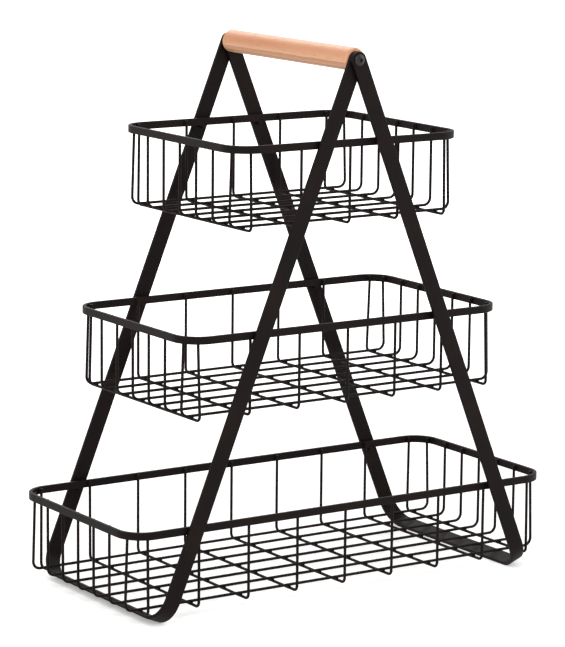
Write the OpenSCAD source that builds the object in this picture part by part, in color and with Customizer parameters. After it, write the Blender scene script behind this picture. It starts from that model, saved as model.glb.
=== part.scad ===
// Three-tier wire fruit stand: two U frames of flat bar cross as an A under a wooden handle,
// and three rectangular wire baskets hang between their legs, each rim resting on four pegs.
// Millimetres. Z is up, X runs along the baskets, Y from the front (-Y) to the back.
// The origin is on the table, midway between the two frames.

/* [Stand] */
// Height of the handle's axis above the table
handle_axis_height = 423; // [400:1:520]
// Distance between the centre lines of the two bars that stand on the table
foot_spread = 338; // [280:1:380]
// Width of the frames' flat bar
bar_width = 13; // [11:0.5:16]
// Thickness of the frames' flat bar
bar_thickness = 3; // [2.5:0.1:4]
// Radius on the long edges of the frames' flat bar
bar_edge_radius = 0.7; // [0.3:0.1:1.2]
// Inside radius of the bends at the foot of each leg
foot_bend_radius = 17; // [8:1:25]
// Depth of the flat that is dressed on the bars' lowest edge, so that the stand doesn't rock
foot_flat_depth = 0.4; // [0.2:0.1:0.8]

/* [Handle] */
// Diameter of the wooden dowel
dowel_diameter = 18; // [16:0.5:24]
// Length of the dowel, which is also the clear width between the inner legs
dowel_length = 176; // [140:1:215]
// Rounding of the dowel's end edges
dowel_end_radius = 1.5; // [0.5:0.1:3]
// Nominal diameter of the screws that hold the legs to the dowel
screw_diameter = 5; // [4:0.5:6]
// Diameter of the screws' low domed heads
screw_head_diameter = 9; // [8:0.1:11]
// Height of the screw heads
screw_head_height = 2.2; // [1.8:0.1:3]
// Height of the straight edge under the heads' domes
head_edge_height = 0.5; // [0.3:0.1:1]
// Width across the flats of the hexagon socket in each head
screw_socket_width = 3; // [2.5:0.1:4]
// Depth of the hexagon socket
screw_socket_depth = 1.5; // [1:0.1:1.8]
// Length of each screw's thread inside the dowel
screw_grip = 11; // [8:0.5:14]
// Outside diameter of the threaded inserts in the dowel's ends
insert_diameter = 8; // [7:0.1:10]
// Length of the threaded inserts
insert_length = 13; // [12:0.5:18]
// How much deeper than the inserts their holes in the dowel are drilled
insert_hole_spare = 2; // [1:0.5:4]
// Clearance on the diameter of the screws in the inserts
thread_clearance = 0.1; // [0.06:0.02:0.2]
// Clearance on the diameter of the screw holes in the legs
screw_hole_clearance = 0.3; // [0.2:0.05:0.8]

/* [Baskets] */
// Overall length of the bottom basket's rim
bottom_length = 395; // [320:1:480]
// Overall length of the middle basket's rim
middle_length = 297; // [240:1:360]
// Overall length of the top basket's rim
top_length = 213; // [170:1:260]
// Height of a basket, from the top of its rim to the underside of its lowest wires
basket_height = 66.5; // [50:0.5:82]
// Height of the bottom basket's lowest wires above the table
floor_clearance = 9; // [8.5:0.5:20]
// Rise from the bottom rim to the middle rim
lower_rise = 145; // [115:1:160]
// Rise from the middle rim to the top rim
upper_rise = 141.5; // [115:0.5:160]
// Gap between each rim's long sides and the inner legs
rim_leg_gap = 0.5; // [0.3:0.1:1.5]
// Height of the rims' flat band
band_height = 6; // [5:0.5:9]
// Thickness of the rims' flat band
band_thickness = 3; // [2:0.1:4]
// Radius on the edges of the rims' flat band
band_edge_radius = 0.6; // [0.3:0.1:1]
// Outside radius of the rims' corners
rim_corner_radius = 22; // [16:1:27]

/* [Wires] */
// Diameter of the basket wire
wire_diameter = 2.3; // [1.8:0.1:3]
// Distance between the wires that run from the front to the back
cross_pitch = 45; // [35:1:55]
// Distance between the wires that run from end to end
long_pitch = 24; // [18:0.5:30]
// Least distance from a rim's outside to the middle of the outermost wire
end_margin = 13; // [10:0.5:20]
// Bend radius of the cross wires, at the middle of the wire
cross_bend_radius = 4; // [3:0.5:8]
// Bend radius of the long wires, at the middle of the wire
long_bend_radius = 6; // [3:0.5:8]
// Distance from a rim's upper edge down to the wires' ends
wire_end_drop = 1; // [0.5:0.1:2]
// Gap left where wires are welded, thinner than the weld's own film
weld_gap = 0.04; // [0.02:0.01:0.1]

/* [Pegs] */
// Diameter of the pegs on the legs' inner faces
peg_diameter = 4; // [3:0.1:5]
// Clearance between a peg and the notch that sits on it
notch_clearance = 0.3; // [0.2:0.05:0.5]
// Height of the notch in the rim's lower edge
notch_depth = 2; // [1.5:0.1:2.5]
// How far the pegs stop short of the band's inner face
peg_shortfall = 0.3; // [0.1:0.1:1]

/* [Hidden] */
$fn = 64;

metal = [0.10, 0.09, 0.085];
wood = [0.87, 0.66, 0.49];
brass = [0.72, 0.58, 0.30];

// The frames lean inwards by the angle that puts their feet foot_spread apart. The bar's half
// height above the table changes a little with that angle, so the angle is refined in steps.
function foot_drop(tilt) =
    bar_width / 2 * sin(tilt) + bar_thickness / 2 * cos(tilt) - foot_flat_depth;
function refine_tilt(tilt, steps) =
    steps == 0 ? tilt
    : refine_tilt(atan(foot_spread / 2 / (handle_axis_height - foot_drop(tilt))), steps - 1);
leg_tilt = refine_tilt(20, 8);
leg_length = (handle_axis_height - foot_drop(leg_tilt)) / cos(leg_tilt);

// Planes of the legs: on each frame the front leg is inside at one end of the dowel,
// and the back leg lies outside the other frame's leg at the other end
inner_face = dowel_length / 2;
inner_leg_plane = inner_face + bar_thickness / 2;
outer_leg_plane = inner_face + bar_thickness * 3 / 2;
outer_face = inner_face + 2 * bar_thickness;
bend_middle_radius = foot_bend_radius + bar_thickness / 2;

screw_reach = 2 * bar_thickness + screw_grip;
insert_hole_depth = insert_length + insert_hole_spare;

rim_depth = dowel_length - 2 * rim_leg_gap;
bottom_rim_z = floor_clearance + basket_height - band_height / 2;
middle_rim_z = bottom_rim_z + lower_rise;
top_rim_z = middle_rim_z + upper_rise;

wire_radius = wire_diameter / 2;
joint_lap = 0.2;
joint_step = 0.02;
corner_inner_radius = rim_corner_radius - band_thickness;
cross_run_drop = basket_height - band_height / 2 - wire_radius;
long_run_drop = cross_run_drop - wire_diameter - weld_gap;

peg_radius = peg_diameter / 2;
notch_radius = peg_radius + notch_clearance;
peg_drop = band_height / 2 - notch_depth + notch_radius;
peg_tip = rim_depth / 2 - band_thickness + peg_shortfall;
reach = 2 * outer_face;

// Wires stand at one pitch to each side of the middle, as far as end_margin lets them
function wire_places(length, pitch) =
    let (side = floor((length / 2 - end_margin) / pitch))
    [for (i = [-side : side]) i * pitch];

// A wire welded inside a rounded corner starts this much nearer the middle than the others
function corner_inset(place, length) =
    let (into = max(0, abs(place) + wire_radius - (length / 2 - rim_corner_radius)))
    corner_inner_radius - sqrt(pow(corner_inner_radius, 2) - pow(into, 2));

// Distance of a leg's centre line from the middle, at a height above the table
function leg_x(z) = tan(leg_tilt) * (handle_axis_height - z);

// Flat section with rounded edges, wide along X
module flat_section(width, thickness, edge) {
    square([width - 2 * edge, thickness], center = true);
    square([width, thickness - 2 * edge], center = true);
    for (x = [-1, 1], y = [-1, 1])
        translate([x * (width / 2 - edge), y * (thickness / 2 - edge)])
            circle(edge);
}

module straight_bar(length) {
    linear_extrude(length)
        flat_section(bar_width, bar_thickness, bar_edge_radius);
}

// Quarter bend from straight down to straight back, about an axis along X
module foot_bend() {
    rotate([0, 90, 0])
        rotate_extrude(angle = 90)
            translate([bend_middle_radius, 0])
                rotate(90)
                    flat_section(bar_width, bar_thickness, bar_edge_radius);
}

// Half disc that closes a leg's upper end round the screw
module round_end() {
    rotate([90, 0, 0])
        rotate_extrude(angle = 180)
            intersection() {
                flat_section(bar_width, bar_thickness, bar_edge_radius);
                translate([0, -bar_thickness])
                    square([bar_width, 2 * bar_thickness]);
            }
}

// One leg, hanging down from the handle's axis
module leg() {
    round_end();
    translate([0, 0, bend_middle_radius - leg_length])
        straight_bar(leg_length - bend_middle_radius);
}

// One U frame in its own plane, with the handle's axis along Y through the origin
module flat_u_frame() {
    hole_radius = (screw_diameter + screw_hole_clearance) / 2;
    difference() {
        union() {
            translate([0, -inner_leg_plane, 0])
                leg();
            translate([0, outer_leg_plane, 0])
                leg();
            translate([0, outer_leg_plane - bend_middle_radius, bend_middle_radius - leg_length])
                foot_bend();
            mirror([0, 1, 0])
                translate([0, inner_leg_plane - bend_middle_radius, bend_middle_radius - leg_length])
                    foot_bend();
            translate([0, outer_leg_plane - bend_middle_radius, -leg_length])
                rotate([90, 0, 0])
                    straight_bar(inner_leg_plane + outer_leg_plane - 2 * bend_middle_radius);
        }
        rotate([90, 0, 0])
            cylinder(r = hole_radius, h = reach, center = true);
    }
}

// The frame leans inwards, and its lowest edge is dressed flat on the table
module frame_left() {
    color(metal)
        difference() {
            translate([0, 0, handle_axis_height])
                rotate([0, leg_tilt, 0])
                    flat_u_frame();
            translate([-foot_spread, -reach / 2, -bar_width])
                cube([2 * foot_spread, reach, bar_width]);
        }
}

// The right frame is the same piece turned round, so each has one inner and one outer leg
module frame_right() {
    rotate([0, 0, 180])
        frame_left();
}

// Outline of the dowel's half section, with its end edges rounded
module dowel_half_section() {
    radius = dowel_diameter / 2;
    translate([0, -dowel_length / 2 + dowel_end_radius])
        square([radius, dowel_length - 2 * dowel_end_radius]);
    translate([0, -dowel_length / 2])
        square([radius - dowel_end_radius, dowel_length]);
    for (end = [-1, 1])
        intersection() {
            translate([radius - dowel_end_radius, end * (dowel_length / 2 - dowel_end_radius)])
                circle(dowel_end_radius);
            translate([0, -dowel_length])
                square([2 * radius, 2 * dowel_length]);
        }
}

// Places a copy at each end of the handle's axis, with +Z pointing out of the dowel's end face
module at_dowel_ends() {
    translate([0, 0, handle_axis_height])
        for (turn = [0, 180])
            rotate([0, 0, turn])
                rotate([90, 0, 0])
                    translate([0, 0, inner_face])
                        children();
}

module handle_dowel() {
    color(wood)
        difference() {
            translate([0, 0, handle_axis_height])
                rotate([90, 0, 0])
                    rotate_extrude()
                        dowel_half_section();
            at_dowel_ends()
                translate([0, 0, -insert_hole_depth])
                    cylinder(d = insert_diameter, h = 2 * insert_hole_depth);
        }
}

module handle_inserts() {
    color(brass)
        at_dowel_ends()
            translate([0, 0, -insert_length])
                difference() {
                    cylinder(d = insert_diameter, h = insert_length);
                    translate([0, 0, -1])
                        cylinder(d = screw_diameter + thread_clearance, h = insert_length + 2);
                }
}

// Outline of the head's half section: a short straight edge under a shallow dome
module head_half_section() {
    radius = screw_head_diameter / 2;
    dome = screw_head_height - head_edge_height;
    dome_radius = (radius * radius + dome * dome) / (2 * dome);
    intersection() {
        translate([0, screw_head_height - dome_radius])
            circle(dome_radius);
        square([radius, screw_head_height]);
    }
}

module screw_head() {
    difference() {
        rotate_extrude()
            head_half_section();
        translate([0, 0, screw_head_height - screw_socket_depth])
            cylinder(d = screw_socket_width / cos(30), h = screw_head_height, $fn = 6);
    }
}

module handle_screws() {
    color(metal)
        at_dowel_ends() {
            translate([0, 0, 2 * bar_thickness])
                screw_head();
            translate([0, 0, 2 * bar_thickness - screw_reach])
                cylinder(d = screw_diameter, h = screw_reach);
        }
}

// Two pegs on one tier, one on each frame, between a leg's inner face and the rim's band
module pegs(rim_z, side, leg_face) {
    peg_z = rim_z - peg_drop;
    color(metal)
        for (turn = [0, 180])
            rotate([0, 0, turn])
                translate([side * leg_x(peg_z), -leg_face, peg_z])
                    rotate([-90, 0, 0])
                        cylinder(r = peg_radius, h = leg_face - peg_tip);
}

module short_pegs(rim_z) {
    pegs(rim_z, -1, inner_face);
}

module long_pegs(rim_z) {
    pegs(rim_z, 1, inner_face + bar_thickness);
}

// Straight piece of the rim's band along X, its height along Z
module band(length) {
    rotate([90, 0, 90])
        linear_extrude(length, center = true)
            rotate(90)
                flat_section(band_height, band_thickness, band_edge_radius);
}

module band_corner() {
    rotate_extrude(angle = 90)
        translate([rim_corner_radius - band_thickness / 2, 0])
            rotate(90)
                flat_section(band_height, band_thickness, band_edge_radius);
}

// Closed rim of flat band, notched below where the pegs carry it
module rim(length, rim_z) {
    flat_x = length - 2 * rim_corner_radius;
    flat_y = rim_depth - 2 * rim_corner_radius;
    peg_z = rim_z - peg_drop;
    color(metal)
        difference() {
            translate([0, 0, rim_z])
                union() {
                    for (turn = [0, 180])
                        rotate([0, 0, turn]) {
                            translate([0, (rim_depth - band_thickness) / 2, 0])
                                band(flat_x);
                            translate([(length - band_thickness) / 2, 0, 0])
                                rotate([0, 0, 90])
                                    band(flat_y);
                            translate([flat_x / 2, flat_y / 2, 0])
                                band_corner();
                            translate([-flat_x / 2, flat_y / 2, 0])
                                rotate([0, 0, 90])
                                    band_corner();
                        }
                }
            for (side = [-1, 1])
                translate([side * leg_x(peg_z), 0, peg_z])
                    rotate([90, 0, 0])
                        cylinder(r = notch_radius, h = reach, center = true);
        }
}

// Half of a U-shaped wire in the XZ plane: half its bottom run, a bend and an upright that
// leans back by `inset` where it meets the band. The upright is a hair thinner than the bend
// and starts just inside it, so that the two are one solid at any lean.
module half_wire(half_span, rise, bend_radius, inset) {
    lean = atan(inset / (rise - bend_radius - band_height));
    upright = (rise - bend_radius - bend_radius * sin(lean)) / cos(lean);
    turn_x = half_span - bend_radius;
    rotate([0, 90, 0])
        cylinder(r = wire_radius, h = turn_x);
    translate([turn_x, 0, bend_radius]) {
        rotate([90, 0, 0])
            rotate([0, 0, -90])
                rotate_extrude(angle = 90 + lean)
                    translate([bend_radius, 0])
                        circle(wire_radius);
        translate([bend_radius * cos(lean), 0, bend_radius * sin(lean)])
            rotate([0, -lean, 0])
                translate([0, 0, -joint_lap])
                    cylinder(r = wire_radius - joint_step, h = upright + joint_lap);
    }
}

module u_wire(half_span, rise, bend_radius, inset) {
    half_wire(half_span, rise, bend_radius, inset);
    mirror([1, 0, 0])
        half_wire(half_span, rise, bend_radius, inset);
}

// Wires from the front to the back, welded inside the band on the long sides
module cross_wires(length, rim_z) {
    half_span = rim_depth / 2 - band_thickness - wire_radius - weld_gap;
    rise = cross_run_drop + band_height / 2 - wire_end_drop;
    color(metal)
        for (x = wire_places(length, cross_pitch))
            translate([x, 0, rim_z - cross_run_drop])
                rotate([0, 0, 90])
                    u_wire(half_span, rise, cross_bend_radius, corner_inset(x, length));
}

// Wires from end to end, which lie on the cross wires
module long_wires(length, rim_z) {
    half_span = length / 2 - band_thickness - wire_radius - weld_gap;
    rise = long_run_drop + band_height / 2 - wire_end_drop;
    color(metal)
        for (y = wire_places(rim_depth, long_pitch))
            translate([0, y, rim_z - long_run_drop])
                u_wire(half_span, rise, long_bend_radius, corner_inset(y, rim_depth));
}

frame_left();
frame_right();
handle_dowel();
handle_inserts();
handle_screws();
short_pegs(bottom_rim_z);  // short_pegs_bottom
long_pegs(bottom_rim_z);  // long_pegs_bottom
short_pegs(middle_rim_z);  // short_pegs_middle
long_pegs(middle_rim_z);  // long_pegs_middle
short_pegs(top_rim_z);  // short_pegs_top
long_pegs(top_rim_z);  // long_pegs_top
rim(bottom_length, bottom_rim_z);  // rim_bottom
cross_wires(bottom_length, bottom_rim_z);  // cross_wires_bottom
long_wires(bottom_length, bottom_rim_z);  // long_wires_bottom
rim(middle_length, middle_rim_z);  // rim_middle
cross_wires(middle_length, middle_rim_z);  // cross_wires_middle
long_wires(middle_length, middle_rim_z);  // long_wires_middle
rim(top_length, top_rim_z);  // rim_top
cross_wires(top_length, top_rim_z);  // cross_wires_top
long_wires(top_length, top_rim_z);  // long_wires_top
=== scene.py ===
import math

import bpy
from mathutils import Matrix, Vector


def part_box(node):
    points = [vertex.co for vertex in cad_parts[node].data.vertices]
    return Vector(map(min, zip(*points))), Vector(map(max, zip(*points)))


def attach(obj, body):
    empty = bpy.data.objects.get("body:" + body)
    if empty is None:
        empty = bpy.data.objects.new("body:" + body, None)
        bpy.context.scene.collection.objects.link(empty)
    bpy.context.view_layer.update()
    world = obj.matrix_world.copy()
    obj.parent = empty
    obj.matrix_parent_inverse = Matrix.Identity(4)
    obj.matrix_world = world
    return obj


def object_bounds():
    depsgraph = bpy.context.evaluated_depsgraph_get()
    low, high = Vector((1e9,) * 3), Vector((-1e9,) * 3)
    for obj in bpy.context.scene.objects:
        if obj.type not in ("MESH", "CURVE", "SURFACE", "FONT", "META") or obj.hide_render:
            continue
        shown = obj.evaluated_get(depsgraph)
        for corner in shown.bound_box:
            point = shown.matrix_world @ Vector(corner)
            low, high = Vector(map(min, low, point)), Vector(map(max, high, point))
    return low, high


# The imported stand, in metres, and its box before anything is added
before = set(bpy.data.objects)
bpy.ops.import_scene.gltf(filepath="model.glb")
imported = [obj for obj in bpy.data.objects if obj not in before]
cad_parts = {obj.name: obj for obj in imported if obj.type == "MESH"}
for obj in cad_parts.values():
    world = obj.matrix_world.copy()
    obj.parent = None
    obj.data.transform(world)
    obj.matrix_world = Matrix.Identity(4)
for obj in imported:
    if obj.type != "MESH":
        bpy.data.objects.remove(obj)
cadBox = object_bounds()
print("stand loaded")

# Camera, solved from the photograph: place in metres, angles in degrees
camera = {
    "place": (-1.3241, -1.9954, 0.6503),
    "yaw": 33.45,
    "pitch": 10.55,
    "roll": 0.55,
    "focalPixels": 3052,
    "photoHeight": 647,
    "sensor": 36.0,
    "clip": (0.05, 50.0),
}


def makeCamera():
    yaw = math.radians(camera["yaw"])
    pitch = math.radians(camera["pitch"])
    roll = math.radians(camera["roll"])
    level = math.cos(pitch)
    forward = Vector((math.sin(yaw) * level, math.cos(yaw) * level, -math.sin(pitch)))
    right = Vector((math.cos(yaw), -math.sin(yaw), 0))
    up = right.cross(forward)
    rolledRight = math.cos(roll) * right + math.sin(roll) * up
    rolledUp = math.cos(roll) * up - math.sin(roll) * right
    turn = Matrix((rolledRight, rolledUp, -forward)).transposed().to_4x4()
    data = bpy.data.cameras.new("photoCamera")
    data.sensor_width = camera["sensor"]
    data.lens = camera["focalPixels"] / camera["photoHeight"] * camera["sensor"]
    data.clip_start, data.clip_end = camera["clip"]
    made = bpy.data.objects.new("photoCamera", data)
    made.matrix_world = Matrix.Translation(camera["place"]) @ turn
    bpy.context.scene.collection.objects.link(made)
    bpy.context.scene.camera = made


makeCamera()
print("camera placed")


def hexToLinear(code):
    parts = [int(code[i:i + 2], 16) / 255 for i in (0, 2, 4)]
    linear = [p / 12.92 if p <= 0.04045 else ((p + 0.055) / 1.055) ** 2.4 for p in parts]
    return (*linear, 1.0)


def addNode(tree, kind, settings=None, links=None, stops=()):
    # settings and links go to inputs by name or number, and settings also to attributes by name.
    # stops are a colour ramp's places, from low to high, and their colours
    node = tree.nodes.new(kind)
    for name, value in (settings or {}).items():
        if isinstance(name, int) or name in node.inputs:
            node.inputs[name].default_value = value
        else:
            setattr(node, name, value)
    for name, socket in (links or {}).items():
        tree.links.new(socket, node.inputs[name])
    while stops and len(node.color_ramp.elements) < len(stops):
        node.color_ramp.elements.new(0.5)
    for number, (place, code) in enumerate(stops):
        node.color_ramp.elements[number].position = place
        node.color_ramp.elements[number].color = hexToLinear(code)
    return node


def newMaterial(name):
    material = bpy.data.materials.new(name)
    material.use_nodes = True
    tree = material.node_tree
    tree.nodes.clear()
    return material, tree


# Satin powder-coated steel: nearly black and faintly brown, with a fine orange peel,
# and a painted highlight that lightens its edges where their rounding would catch the light
powderCoat = {
    "tones": [(0.3, "080303"), (0.5, "0f0706"), (0.72, "190e0b")],
    "cloudSize": 0.045,           # metres across the faint tone changes
    "peelSize": 0.0009,           # metres between the peel's bumps
    "peelHeight": 0.00006,
    "peelStrength": 0.25,
    # painted highlight: a lighter tone laid on the edges in place of light catching them
    "edge": "2a1c17",
    "edgeRadius": 0.0005,
    "edgeStarts": 0.99,           # how far the rounded normal still agrees with the flat one
    "edgeFull": 0.8,
    "edgeShare": 0.35,            # the most of the painted highlight's tone that shows
    "roughness": (0.46, 0.60),
    "specular": 0.1,              # the fine texture of the coat swallows much of the shine
}


def makePowderCoat():
    material, tree = newMaterial("powder-coated steel")
    place = addNode(tree, "ShaderNodeTexCoord").outputs["Object"]
    cloud = addNode(tree, "ShaderNodeTexNoise", {"Scale": 1 / powderCoat["cloudSize"], "Detail": 3.0},
                    {"Vector": place})
    peel = addNode(tree, "ShaderNodeTexNoise", {"Scale": 1 / powderCoat["peelSize"], "Detail": 1.5},
                   {"Vector": place})
    tone = addNode(tree, "ShaderNodeValToRGB", links={"Fac": cloud.outputs["Fac"]},
                   stops=powderCoat["tones"])
    rounded = addNode(tree, "ShaderNodeBevel", {"samples": 4, "Radius": powderCoat["edgeRadius"]})
    flat = addNode(tree, "ShaderNodeNewGeometry")
    agree = addNode(tree, "ShaderNodeVectorMath", {"operation": "DOT_PRODUCT"},
                    {0: rounded.outputs["Normal"], 1: flat.outputs["Normal"]})
    # painted highlight: the edges are lightened where their rounding would catch the light
    paintedHighlight = addNode(tree, "ShaderNodeMapRange",
                   {"From Min": powderCoat["edgeStarts"], "From Max": powderCoat["edgeFull"],
                    "To Min": 0.0, "To Max": powderCoat["edgeShare"]},
                   {"Value": agree.outputs["Value"]})
    colour = addNode(tree, "ShaderNodeMix", {"data_type": "RGBA", 7: hexToLinear(powderCoat["edge"])},
                     {"Factor": paintedHighlight.outputs["Result"], 6: tone.outputs["Color"]})
    low, high = powderCoat["roughness"]
    rough = addNode(tree, "ShaderNodeMapRange", {"To Min": low, "To Max": high},
                    {"Value": cloud.outputs["Fac"]})
    bump = addNode(tree, "ShaderNodeBump",
                   {"Strength": powderCoat["peelStrength"], "Distance": powderCoat["peelHeight"]},
                   {"Height": peel.outputs["Fac"]})
    shader = addNode(tree, "ShaderNodeBsdfPrincipled",
                     {"IOR": 1.5, "Metallic": 0.0, "Specular IOR Level": powderCoat["specular"]},
                     {"Base Color": colour.outputs[2], "Roughness": rough.outputs["Result"],
                      "Normal": bump.outputs["Normal"]})
    addNode(tree, "ShaderNodeOutputMaterial", links={"Surface": shader.outputs["BSDF"]})
    return material


# Lacquered beech dowel: pale peach, growth rings that run along the handle and show as arcs
# on its two ends, and short dark flecks that stand a little proud under the lacquer
beech = {
    "rings": [(0.0, "dcab87"), (0.55, "cf946e"), (1.0, "c1825a")],   # early to late wood
    "ringSpacing": 0.0034,
    "ringTurn": 0.314,              # metres between rings where the wave's scale is 1
    "pith": (0.021, 0.0, -0.013),   # metres from the handle's axis to the tree's middle
    "wanderScale": 70.0,            # cells per metre, so the rings wander every 14 mm
    "wanderReach": 0.004,           # metres
    "alongGrain": 0.06,             # how much less they wander along the handle
    "fleck": "9f6344",
    "fleckLength": 0.0060,
    "fleckWidth": 0.00035,
    "fleckScale": 0.6,              # cells per fleck, as a fleck is only a cell's peak
    "fleckRange": (0.60, 0.74),     # where on the noise a fleck starts and is darkest
    "fleckShare": 0.55,             # the most of the fleck's tone that shows
    "fleckHeight": 0.00008,
    "fleckStrength": 0.3,
    "roughness": (0.42, 0.58),
}


def makeBeech():
    material, tree = newMaterial("lacquered beech")
    low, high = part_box("handle_dowel")
    middle = (Vector(low) + Vector(high)) / 2
    pith = middle + Vector(beech["pith"])
    place = addNode(tree, "ShaderNodeTexCoord").outputs["Object"]
    centred = addNode(tree, "ShaderNodeMapping", {"Location": -pith}, {"Vector": place})
    stretched = addNode(tree, "ShaderNodeMapping", {"Scale": (1.0, beech["alongGrain"], 1.0)},
                        {"Vector": centred.outputs["Vector"]})
    wander = addNode(tree, "ShaderNodeTexNoise", {"Scale": beech["wanderScale"], "Detail": 2.0},
                     {"Vector": stretched.outputs["Vector"]})
    reach = (beech["wanderReach"], 0.0, beech["wanderReach"])
    shift = addNode(tree, "ShaderNodeVectorMath", {"operation": "MULTIPLY_ADD", 1: reach},
                    {0: wander.outputs["Color"], 2: centred.outputs["Vector"]})
    rings = addNode(tree, "ShaderNodeTexWave",
                    {"wave_type": "RINGS", "rings_direction": "Y", "wave_profile": "SAW",
                     "Scale": beech["ringTurn"] / beech["ringSpacing"],
                     "Distortion": 0.6, "Detail": 2.0, "Detail Scale": 1.2},
                    {"Vector": shift.outputs["Vector"]})
    grain = addNode(tree, "ShaderNodeValToRGB", links={"Fac": rings.outputs["Fac"]},
                    stops=beech["rings"])
    across = 1 / beech["fleckWidth"]
    streaks = addNode(tree, "ShaderNodeMapping", {"Scale": (across, 1 / beech["fleckLength"], across)},
                      {"Vector": centred.outputs["Vector"]})
    fibre = addNode(tree, "ShaderNodeTexNoise", {"Scale": beech["fleckScale"], "Detail": 3.0},
                    {"Vector": streaks.outputs["Vector"]})
    starts, darkest = beech["fleckRange"]
    flecks = addNode(tree, "ShaderNodeMapRange",
                     {"From Min": starts, "From Max": darkest,
                      "To Min": 0.0, "To Max": beech["fleckShare"]},
                     {"Value": fibre.outputs["Fac"]})
    colour = addNode(tree, "ShaderNodeMix", {"data_type": "RGBA", 7: hexToLinear(beech["fleck"])},
                     {"Factor": flecks.outputs["Result"], 6: grain.outputs["Color"]})
    smooth, dull = beech["roughness"]
    rough = addNode(tree, "ShaderNodeMapRange", {"To Min": smooth, "To Max": dull},
                    {"Value": fibre.outputs["Fac"]})
    bump = addNode(tree, "ShaderNodeBump",
                   {"Strength": beech["fleckStrength"], "Distance": beech["fleckHeight"]},
                   {"Height": fibre.outputs["Fac"]})
    shader = addNode(tree, "ShaderNodeBsdfPrincipled", {"IOR": 1.5, "Metallic": 0.0},
                     {"Base Color": colour.outputs[2], "Roughness": rough.outputs["Result"],
                      "Normal": bump.outputs["Normal"]})
    addNode(tree, "ShaderNodeOutputMaterial", links={"Surface": shader.outputs["BSDF"]})
    return material


# Plain metals of the small hardware, faintly mottled as black oxide and handled brass are.
# The mottling is drawn coarser than it is, so that it shows
hardware = {
    "mottleSize": 0.0025,    # metres
    "mottleHeight": 0.00003,
    "mottleStrength": 0.15,
    "black-oxide steel": {
        "tones": [(0.35, "0d0a09"), (0.65, "1a1614")],
        "metallic": 0.3,     # the oxide covers most of the bare steel
        "roughness": 0.45,
    },
    "turned brass": {
        "tones": [(0.35, "a88440"), (0.65, "c9a75c")],
        "metallic": 1.0,
        "roughness": 0.3,
    },
}


def makeHardware(name):
    look = hardware[name]
    material, tree = newMaterial(name)
    place = addNode(tree, "ShaderNodeTexCoord").outputs["Object"]
    mottle = addNode(tree, "ShaderNodeTexNoise", {"Scale": 1 / hardware["mottleSize"], "Detail": 2.0},
                     {"Vector": place})
    tone = addNode(tree, "ShaderNodeValToRGB", links={"Fac": mottle.outputs["Fac"]}, stops=look["tones"])
    bump = addNode(tree, "ShaderNodeBump",
                   {"Strength": hardware["mottleStrength"], "Distance": hardware["mottleHeight"]},
                   {"Height": mottle.outputs["Fac"]})
    shader = addNode(tree, "ShaderNodeBsdfPrincipled",
                     {"Metallic": look["metallic"], "Roughness": look["roughness"]},
                     {"Base Color": tone.outputs["Color"], "Normal": bump.outputs["Normal"]})
    addNode(tree, "ShaderNodeOutputMaterial", links={"Surface": shader.outputs["BSDF"]})
    return material


coat = makePowderCoat()
special = {
    "handle_dowel": makeBeech(),
    "handle_screws": makeHardware("black-oxide steel"),
    "handle_inserts": makeHardware("turned brass"),
}
for name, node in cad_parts.items():
    node.data.materials.clear()
    node.data.materials.append(special.get(name, coat))
print("materials given")

# Welds, in metres: a small collar where two wires cross under a basket, and a bead up each
# side of a wire where it meets the rim's band
weld = {
    "collarRadius": 0.00165,
    "collarHeight": 0.0016,
    "beadWidth": 0.0013,
    "beadLength": 0.0042,
    "edges": 10,
    "rounding": 0.45,        # of the smaller of radius and height
    "beadOut": 0.36,         # of the wire's thickness, from its middle towards the band
    "beadAside": 0.42,       # of the wire's thickness, from its middle along the band
    "wireGap": 0.005,        # points further apart than this are on two wires
}


def startWeld(name, radius, height):
    # a drum with rounded ends, which is how squeezed-out metal sets
    bpy.ops.object.select_all(action="DESELECT")
    bpy.ops.mesh.primitive_cylinder_add(vertices=weld["edges"], radius=radius, depth=height)
    drum = bpy.context.object
    drum.name = name
    bpy.ops.object.mode_set(mode="EDIT")
    bpy.ops.mesh.select_all(action="SELECT")
    bpy.ops.mesh.bevel(offset=min(radius, height) * weld["rounding"], segments=2, affect="EDGES")
    bpy.ops.mesh.remove_doubles(threshold=1e-6)
    bpy.ops.mesh.normals_make_consistent(inside=False)
    bpy.ops.object.mode_set(mode="OBJECT")
    bpy.ops.object.shade_smooth()
    return drum


def wiresOf(name, axis):
    # each wire of a node as its list of points, told apart by their place along the axis
    points = [Vector(vertex.co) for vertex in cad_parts[name].data.vertices]
    points.sort(key=lambda point: point[axis])
    wires = [[points[0]]]
    for point in points[1:]:
        if point[axis] - wires[-1][-1][axis] > weld["wireGap"]:
            wires.append([])
        wires[-1].append(point)
    return wires


def middleOf(points, axis):
    places = [point[axis] for point in points]
    return (min(places) + max(places)) / 2


def copyWeld(source, place):
    made = source.copy()
    made.data = source.data.copy()
    made.matrix_world = Matrix.Translation(place)
    bpy.context.scene.collection.objects.link(made)
    return made


def joinWelds(welds, name, body):
    bpy.ops.object.select_all(action="DESELECT")
    for each in welds:
        each.select_set(True)
    bpy.context.view_layer.objects.active = welds[0]
    bpy.ops.object.join()
    joined = bpy.context.object
    joined.name = name
    bpy.ops.object.transform_apply(location=True, rotation=True, scale=True)
    joined.data.materials.clear()
    joined.data.materials.append(coat)
    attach(joined, body)


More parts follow.
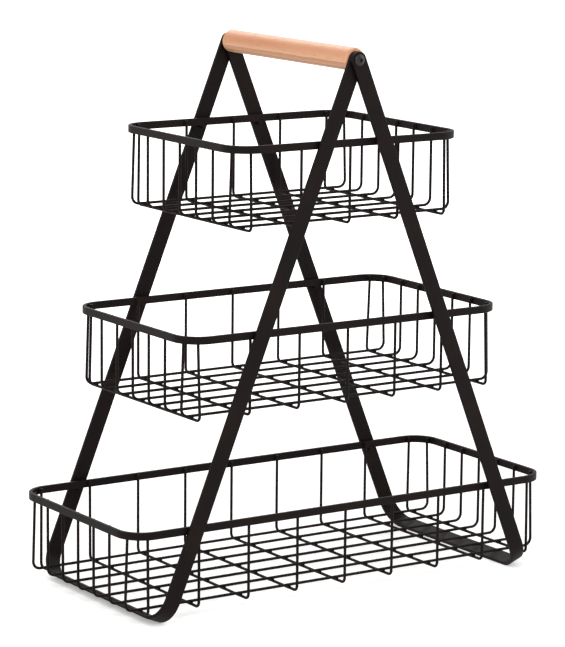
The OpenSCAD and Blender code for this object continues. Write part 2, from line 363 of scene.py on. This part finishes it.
def makeWelds(tier):
    crossing = wiresOf("cross_wires_" + tier, 0)
    lengthwise = wiresOf("long_wires_" + tier, 1)
    xs = [middleOf(wire, 0) for wire in crossing]
    ys = [middleOf(wire, 1) for wire in lengthwise]
    thickness = max(point.x for point in crossing[0]) - min(point.x for point in crossing[0])
    seam = min(point.z for point in crossing[0]) + thickness
    collar = startWeld("collar", weld["collarRadius"], weld["collarHeight"])
    welds = [copyWeld(collar, (x, y, seam)) for x in xs for y in ys]
    bead = startWeld("bead", weld["beadWidth"] / 2, weld["beadLength"])
    low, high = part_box("rim_" + tier)
    height = (low[2] + high[2]) / 2
    for wires, along in ((crossing, 0), (lengthwise, 1)):
        across = 1 - along
        for wire in wires:
            for side in (-1, 1):
                tips = [point for point in wire if point[across] * side > 0 and point.z > height]
                spot = Vector((0, 0, height))
                spot[along] = middleOf(tips, along)
                spot[across] = middleOf(tips, across) + side * thickness * weld["beadOut"]
                for flank in (-1, 1):
                    step = Vector((0, 0, 0))
                    step[along] = flank * thickness * weld["beadAside"]
                    welds.append(copyWeld(bead, spot + step))
    bpy.data.objects.remove(collar)
    bpy.data.objects.remove(bead)
    joinWelds(welds, "welds_" + tier, "basket_" + tier)


for tier in ("bottom", "middle", "top"):
    makeWelds(tier)
print("welds made")

# Pale table and soft studio light, sizes in metres and power in watts
studio = {
    "tableSize": 12.0,
    "tableColour": "e9e8e6",
    "tableRoughness": 0.8,
    "whiteFrom": (0.35, 1.6),    # metres from the stand's middle
    "whiteGlow": (0.36, 1.0),
    "white": "ffffff",
    "skyStrength": 0.55,
    "lamps": [
        {"name": "softboxLeft", "place": (-1.9, -1.6, 2.3), "size": 1.8, "watts": 62},
        {"name": "softboxRight", "place": (2.3, -1.2, 1.7), "size": 1.6, "watts": 30},
        {"name": "softboxBack", "place": (0.6, 2.2, 2.2), "size": 1.6, "watts": 34},
    ],
}


def whiteForCamera(tree, plain, white):
    # the camera and what shines or lets light through see the white shader, all else the plain one
    path = addNode(tree, "ShaderNodeLightPath")
    seen = addNode(tree, "ShaderNodeMath", {"operation": "MAXIMUM"},
                   {0: path.outputs["Is Camera Ray"], 1: path.outputs["Is Glossy Ray"]})
    either = addNode(tree, "ShaderNodeMath", {"operation": "MAXIMUM"},
                     {0: seen.outputs["Value"], 1: path.outputs["Is Transmission Ray"]})
    mix = addNode(tree, "ShaderNodeMixShader",
                  links={"Fac": either.outputs["Value"], 1: plain.outputs[0], 2: white.outputs[0]})
    return mix.outputs[0]


def makeTable():
    bpy.ops.object.select_all(action="DESELECT")
    bpy.ops.mesh.primitive_plane_add(size=studio["tableSize"])
    table = bpy.context.object
    table.name = "table"
    material, tree = newMaterial("matt white laminate")
    colour = hexToLinear(studio["tableColour"])
    plain = addNode(tree, "ShaderNodeBsdfPrincipled",
                    {"Base Color": colour, "Roughness": studio["tableRoughness"]})
    # the table brightens to plain white away from the stand, and keeps its shadow near it
    place = addNode(tree, "ShaderNodeTexCoord").outputs["Object"]
    away = addNode(tree, "ShaderNodeVectorMath", {"operation": "LENGTH"}, {0: place})
    near, far = studio["whiteFrom"]
    dim, full = studio["whiteGlow"]
    glow = addNode(tree, "ShaderNodeMapRange",
                   {"From Min": near, "From Max": far, "To Min": dim, "To Max": full},
                   {"Value": away.outputs["Value"]})
    bright = addNode(tree, "ShaderNodeEmission", {"Color": hexToLinear(studio["white"])},
                     {"Strength": glow.outputs["Result"]})
    lifted = addNode(tree, "ShaderNodeAddShader", links={0: plain.outputs[0], 1: bright.outputs[0]})
    addNode(tree, "ShaderNodeOutputMaterial", links={"Surface": whiteForCamera(tree, plain, lifted)})
    table.data.materials.append(material)


def makeSky():
    world = bpy.data.worlds.new("studio")
    world.use_nodes = True
    tree = world.node_tree
    tree.nodes.clear()
    colour = hexToLinear(studio["white"])
    plain = addNode(tree, "ShaderNodeBackground", {"Color": colour, "Strength": studio["skyStrength"]})
    white = addNode(tree, "ShaderNodeBackground", {"Color": colour, "Strength": 1.0})
    addNode(tree, "ShaderNodeOutputWorld", links={"Surface": whiteForCamera(tree, plain, white)})
    bpy.context.scene.world = world


def makeLamps():
    target = (Vector(cadBox[0]) + Vector(cadBox[1])) / 2
    for lamp in studio["lamps"]:
        data = bpy.data.lights.new(lamp["name"], "AREA")
        data.size = lamp["size"]
        data.energy = lamp["watts"]
        made = bpy.data.objects.new(lamp["name"], data)
        made.location = lamp["place"]
        made.rotation_euler = (target - made.location).to_track_quat("-Z", "Y").to_euler()
        bpy.context.scene.collection.objects.link(made)


makeTable()
makeSky()
makeLamps()
bpy.context.scene.view_settings.view_transform = "Standard"
print("studio lit")
